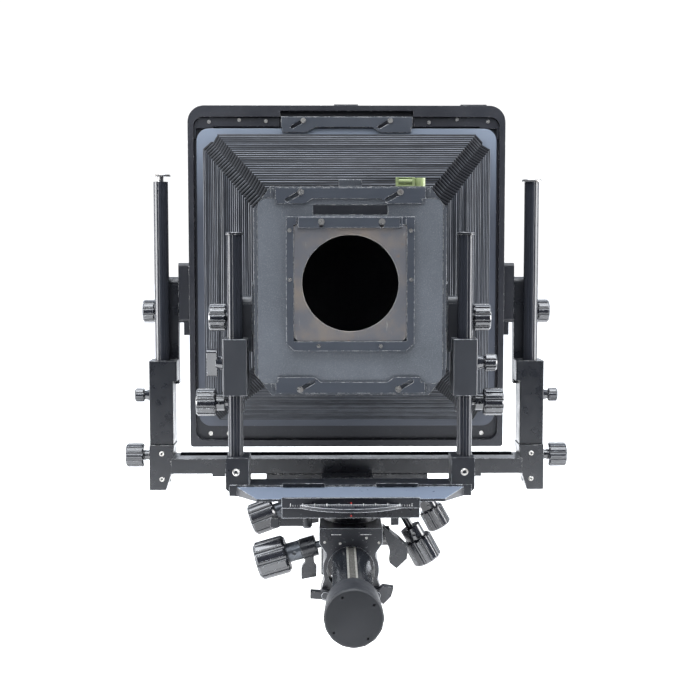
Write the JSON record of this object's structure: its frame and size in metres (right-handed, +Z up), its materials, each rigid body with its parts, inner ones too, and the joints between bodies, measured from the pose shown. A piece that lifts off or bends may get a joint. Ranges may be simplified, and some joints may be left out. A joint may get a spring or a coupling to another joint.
{
  "type": "large format view camera",
  "caption": "Large format monorail view camera in black metal with pleated bellows, lens removed, empty square lens board, geared standards and a spring back.",
  "frame": {"origin": "centre of the tripod thread's mouth, on the flat base of the tripod block", "axes": "+Z up, -Y towards the lens side, +X to the right seen from the lens side's viewer; the rail runs along Y"},
  "size_m": [0.4668, 0.523, 0.4564],
  "materials": {
    "black_anodised": "satin",
    "black_enamel": "satin",
    "grey_wrinkle": "matte",
    "worn_board": "satin",
    "knob_black": "satin",
    "collar_grey": "satin",
    "rack_steel": "satin",
    "bare_screws": "gloss",
    "spindle_steel": "satin",
    "bellows_cloth": "matte",
    "cap_rubber": "matte",
    "level_glass": "gloss",
    "ground_glass": "matte",
    "spring_steel": "satin"
  },
  "bodies": {
    "tripod_block": {"tripod_block": "black_anodised"},
    "tripod_lock": {"tripod_lock_knob": "knob_black"},
    "rail": {"rail_tube": "black_anodised", "rail_rack": "rack_steel", "rail_caps": "cap_rubber"},
    "front_clamp": {"front_clamp_block": "black_anodised"},
    "front_focus": {"front_focus_shaft": "collar_grey", "front_focus_knob": "knob_black"},
    "front_focus_lock": {"front_focus_lock_lever": "black_anodised"},
    "front_swing_lock": {"front_swing_lock_lever": "black_anodised"},
    "front_latch_left": {"front_rail_latch_left": "black_anodised"},
    "front_latch_right": {"front_rail_latch_right": "black_anodised"},
    "front_swing": {"front_swing_plate": "black_anodised"},
    "front_shift_lock": {"front_shift_lock_lever": "black_anodised"},
    "front_shift_drive": {"front_shift_knob": "knob_black"},
    "front_yoke": {"front_yoke": "black_anodised", "front_columns": "black_anodised", "front_column_caps": "black_anodised"},
    "front_carriage": {"front_carriages": "black_anodised"},
    "front_rise_drive": {"front_rise_knobs": "knob_black"},
    "front_rise_lock_left": {"front_rise_lock_left": "knob_black"},
    "front_rise_lock_right": {"front_rise_lock_right": "knob_black"},
    "front_tilt_lock_left": {"front_tilt_knob_left": "knob_black"},
    "front_tilt_lock_right": {"front_tilt_knob_right": "knob_black"},
    "front_frame": {"front_frame": "black_enamel", "lens_board": "grey_wrinkle", "board_adapter": "black_enamel", "small_lens_board": "worn_board", "front_screws": "bare_screws", "spirit_levels": "level_glass", "bellows_front_ring": "black_anodised"},
    "front_slider_top": {"front_slider_top": "black_anodised"},
    "front_slider_bottom": {"front_slider_bottom": "black_anodised"},
    "adapter_lock": {"adapter_lock_bar": "black_anodised"},
    "rear_clamp": {"rear_clamp_block": "black_anodised"},
    "rear_focus": {"rear_focus_shaft": "collar_grey", "rear_focus_knob": "knob_black"},
    "rear_focus_lock": {"rear_focus_lock_lever": "black_anodised"},
    "rear_swing": {"rear_swing_plate": "black_anodised"},
    "rear_shift_drive": {"rear_shift_knob": "knob_black"},
    "rear_yoke": {"rear_yoke": "black_anodised", "rear_columns": "black_anodised"},
    "rear_spindle_left": {"rear_spindle_left": "spindle_steel"},
    "rear_spindle_right": {"rear_spindle_right": "spindle_steel"},
    "rear_rise_drive": {"rear_rise_knobs": "knob_black"},
    "rear_carriage": {"rear_carriages": "black_anodised"},
    "rear_rise_lock_left": {"rear_rise_lock_left": "knob_black"},
    "rear_rise_lock_right": {"rear_rise_lock_right": "knob_black"},
    "rear_tilt_lock_left": {"rear_tilt_knob_left": "knob_black"},
    "rear_tilt_lock_right": {"rear_tilt_knob_right": "knob_black"},
    "rear_frame": {"rear_frame": "black_enamel", "rear_corner_plates": "black_enamel", "rear_screws": "bare_screws", "bellows": "bellows_cloth", "bellows_rear_plate": "black_enamel", "back_springs": "spring_steel"},
    "rear_slider_top": {"rear_slider_top": "black_anodised"},
    "back": {"back_frame": "black_enamel", "ground_glass": "ground_glass"}
  },
  "joints": [
    {"name": "tripod_lock_turn", "type": "hinge", "parent": "tripod_block", "child": "tripod_lock", "pos_m": [0.03, 0, 0.0295], "axis": [1, 0, 0], "range_deg": [-360, 0]},
    {"name": "rail_slide", "type": "slide", "parent": "tripod_block", "child": "rail", "axis": [0, 1, 0], "range_m": [-0.01, 0.02]},
    {"name": "front_focus_slide", "type": "slide", "parent": "rail", "child": "front_clamp", "axis": [0, 1, 0], "range_m": [-0.085, 0.045]},
    {"name": "front_focus_turn", "type": "hinge", "parent": "front_clamp", "child": "front_focus", "pos_m": [0, -0.15, 0.0645], "axis": [-0.9613, 0, -0.2756], "range_deg": [-1300, 1300]},
    {"name": "front_focus_lock_turn", "type": "hinge", "parent": "front_clamp", "child": "front_focus_lock", "pos_m": [0, -0.15, 0.0645], "axis": [-0.9613, 0, -0.2756], "range_deg": [-30, 30]},
    {"name": "front_swing_lock_turn", "type": "hinge", "parent": "front_clamp", "child": "front_swing_lock", "pos_m": [0.03, -0.162, 0.0685], "axis": [-1, 0, 0], "range_deg": [0, 40]},
    {"name": "front_latch_left_turn", "type": "hinge", "parent": "front_clamp", "child": "front_latch_left", "pos_m": [-0.0215, -0.173, 0.0205], "axis": [0, 1, 0], "range_deg": [0, 60]},
    {"name": "front_latch_right_turn", "type": "hinge", "parent": "front_clamp", "child": "front_latch_right", "pos_m": [0.0215, -0.173, 0.0205], "axis": [0, 1, 0], "range_deg": [-60, 0]},
    {"name": "front_swing_turn", "type": "hinge", "parent": "front_clamp", "child": "front_swing", "pos_m": [0, -0.134, 0.083], "axis": [0, 0, 1], "range_deg": [-10, 10]},
    {"name": "front_shift_lock_turn", "type": "hinge", "parent": "front_swing", "child": "front_shift_lock", "pos_m": [-0.037, -0.16, 0.0795], "axis": [0, 0, 1], "range_deg": [-40, 0]},
    {"name": "front_shift_turn", "type": "hinge", "parent": "front_swing", "child": "front_shift_drive", "pos_m": [0.0684, -0.13, 0.038], "axis": [0.4848, 0, -0.8746], "range_deg": [-350, 350]},
    {"name": "front_shift_slide", "type": "slide", "parent": "front_swing", "child": "front_yoke", "axis": [1, 0, 0], "range_m": [-0.03, 0.03]},
    {"name": "front_rise_slide", "type": "slide", "parent": "front_yoke", "child": "front_carriage", "axis": [0, 0, 1], "range_m": [-0.034, 0.085]},
    {"name": "front_rise_turn", "type": "hinge", "parent": "front_carriage", "child": "front_rise_drive", "pos_m": [0.11, -0.115, 0.1751], "axis": [1, 0, 0], "range_deg": [-1300, 1300]},
    {"name": "front_rise_lock_left_turn", "type": "hinge", "parent": "front_carriage", "child": "front_rise_lock_left", "pos_m": [-0.112, -0.128, 0.2108], "axis": [1, 0, 0], "range_deg": [0, 180]},
    {"name": "front_rise_lock_right_turn", "type": "hinge", "parent": "front_carriage", "child": "front_rise_lock_right", "pos_m": [0.112, -0.128, 0.2108], "axis": [1, 0, 0], "range_deg": [0, 180]},
    {"name": "front_tilt_lock_left_turn", "type": "hinge", "parent": "front_carriage", "child": "front_tilt_lock_left", "pos_m": [-0.11, -0.114, 0.2492], "axis": [1, 0, 0], "range_deg": [0, 180]},
    {"name": "front_tilt_lock_right_turn", "type": "hinge", "parent": "front_carriage", "child": "front_tilt_lock_right", "pos_m": [0.11, -0.114, 0.2492], "axis": [1, 0, 0], "range_deg": [0, 180]},
    {"name": "front_tilt_turn", "type": "hinge", "parent": "front_carriage", "child": "front_frame", "pos_m": [0, -0.114, 0.2492], "axis": [1, 0, 0], "range_deg": [-15, 15], "deforming": ["bellows"]},
    {"name": "front_slider_top_slide", "type": "slide", "parent": "front_frame", "child": "front_slider_top", "axis": [0.8625, 0, 0.506], "range_m": [0, 0.0125]},
    {"name": "front_slider_bottom_slide", "type": "slide", "parent": "front_frame", "child": "front_slider_bottom", "axis": [-0.8625, 0, -0.506], "range_m": [0, 0.0125]},
    {"name": "adapter_lock_slide", "type": "slide", "parent": "front_frame", "child": "adapter_lock", "axis": [0, 0, 1], "range_m": [0, 0.0032]},
    {"name": "rear_focus_slide", "type": "slide", "parent": "rail", "child": "rear_clamp", "axis": [0, 1, 0], "range_m": [-0.01, 0.022]},
    {"name": "rear_focus_turn", "type": "hinge", "parent": "rear_clamp", "child": "rear_focus", "pos_m": [0, 0.084, 0.0645], "axis": [-0.9379, 0, -0.3469], "range_deg": [-400, 400]},
    {"name": "rear_focus_lock_turn", "type": "hinge", "parent": "rear_clamp", "child": "rear_focus_lock", "pos_m": [0, 0.084, 0.0645], "axis": [-0.9379, 0, -0.3469], "range_deg": [-30, 30]},
    {"name": "rear_swing_turn", "type": "hinge", "parent": "rear_clamp", "child": "rear_swing", "pos_m": [0, 0.127, 0.0654], "axis": [0, 0, 1], "range_deg": [-8, 8]},
    {"name": "rear_shift_turn", "type": "hinge", "parent": "rear_swing", "child": "rear_shift_drive", "pos_m": [0.0987, 0.112, 0.0155], "axis": [0.4848, 0, -0.8746], "range_deg": [-350, 350]},
    {"name": "rear_shift_slide", "type": "slide", "parent": "rear_swing", "child": "rear_yoke", "axis": [1, 0, 0], "range_m": [-0.03, 0.03]},
    {"name": "rear_spindle_left_turn", "type": "hinge", "parent": "rear_yoke", "child": "rear_spindle_left", "pos_m": [-0.1942, 0.127, 0.1795], "axis": [0, 0, 1], "range_deg": [-2200, 2200]},
    {"name": "rear_spindle_right_turn", "type": "hinge", "parent": "rear_yoke", "child": "rear_spindle_right", "pos_m": [0.1942, 0.127, 0.1795], "axis": [0, 0, 1], "range_deg": [-2200, 2200]},
    {"name": "rear_rise_turn", "type": "hinge", "parent": "rear_yoke", "child": "rear_rise_drive", "pos_m": [0.21, 0.127, 0.0895], "axis": [1, 0, 0], "range_deg": [-1300, 1300]},
    {"name": "rear_rise_slide", "type": "slide", "parent": "rear_yoke", "child": "rear_carriage", "axis": [0, 0, 1], "range_m": [0, 0.06]},
    {"name": "rear_rise_lock_left_turn", "type": "hinge", "parent": "rear_carriage", "child": "rear_rise_lock_left", "pos_m": [-0.21, 0.127, 0.1536], "axis": [1, 0, 0], "range_deg": [0, 180]},
    {"name": "rear_rise_lock_right_turn", "type": "hinge", "parent": "rear_carriage", "child": "rear_rise_lock_right", "pos_m": [0.21, 0.127, 0.1536], "axis": [1, 0, 0], "range_deg": [0, 180]},
    {"name": "rear_tilt_lock_left_turn", "type": "hinge", "parent": "rear_carriage", "child": "rear_tilt_lock_left", "pos_m": [-0.205, 0.142, 0.2417], "axis": [1, 0, 0], "range_deg": [0, 180]},
    {"name": "rear_tilt_lock_right_turn", "type": "hinge", "parent": "rear_carriage", "child": "rear_tilt_lock_right", "pos_m": [0.205, 0.142, 0.2417], "axis": [1, 0, 0], "range_deg": [0, 180]},
    {"name": "rear_tilt_turn", "type": "hinge", "parent": "rear_carriage", "child": "rear_frame", "pos_m": [0, 0.142, 0.2417], "axis": [1, 0, 0], "range_deg": [-10, 10]},
    {"name": "rear_slider_top_slide", "type": "slide", "parent": "rear_frame", "child": "rear_slider_top", "axis": [0.8625, 0, 0.506], "range_m": [0, 0.0125]},
    {"name": "back_slide", "type": "slide", "parent": "rear_frame", "child": "back", "axis": [0, 1, 0], "range_m": [0, 0.012], "stiffness_N_per_m": 1500, "springref_m": -0.01, "deforming": ["back_springs"]}
  ],
  "couplings": [
    {"joint": "front_focus_turn", "follows": "front_focus_slide", "rad_per_m": 250},
    {"joint": "rear_focus_turn", "follows": "rear_focus_slide", "rad_per_m": 250},
    {"joint": "front_shift_turn", "follows": "front_shift_slide", "rad_per_m": 200},
    {"joint": "rear_shift_turn", "follows": "rear_shift_slide", "rad_per_m": 200},
    {"joint": "front_rise_turn", "follows": "front_rise_slide", "rad_per_m": 250},
    {"joint": "rear_spindle_left_turn", "follows": "rear_rise_slide", "rad_per_m": 628.32},
    {"joint": "rear_spindle_right_turn", "follows": "rear_rise_slide", "rad_per_m": 628.32},
    {"joint": "rear_rise_turn", "follows": "rear_rise_slide", "rad_per_m": 314.16}
  ]
}
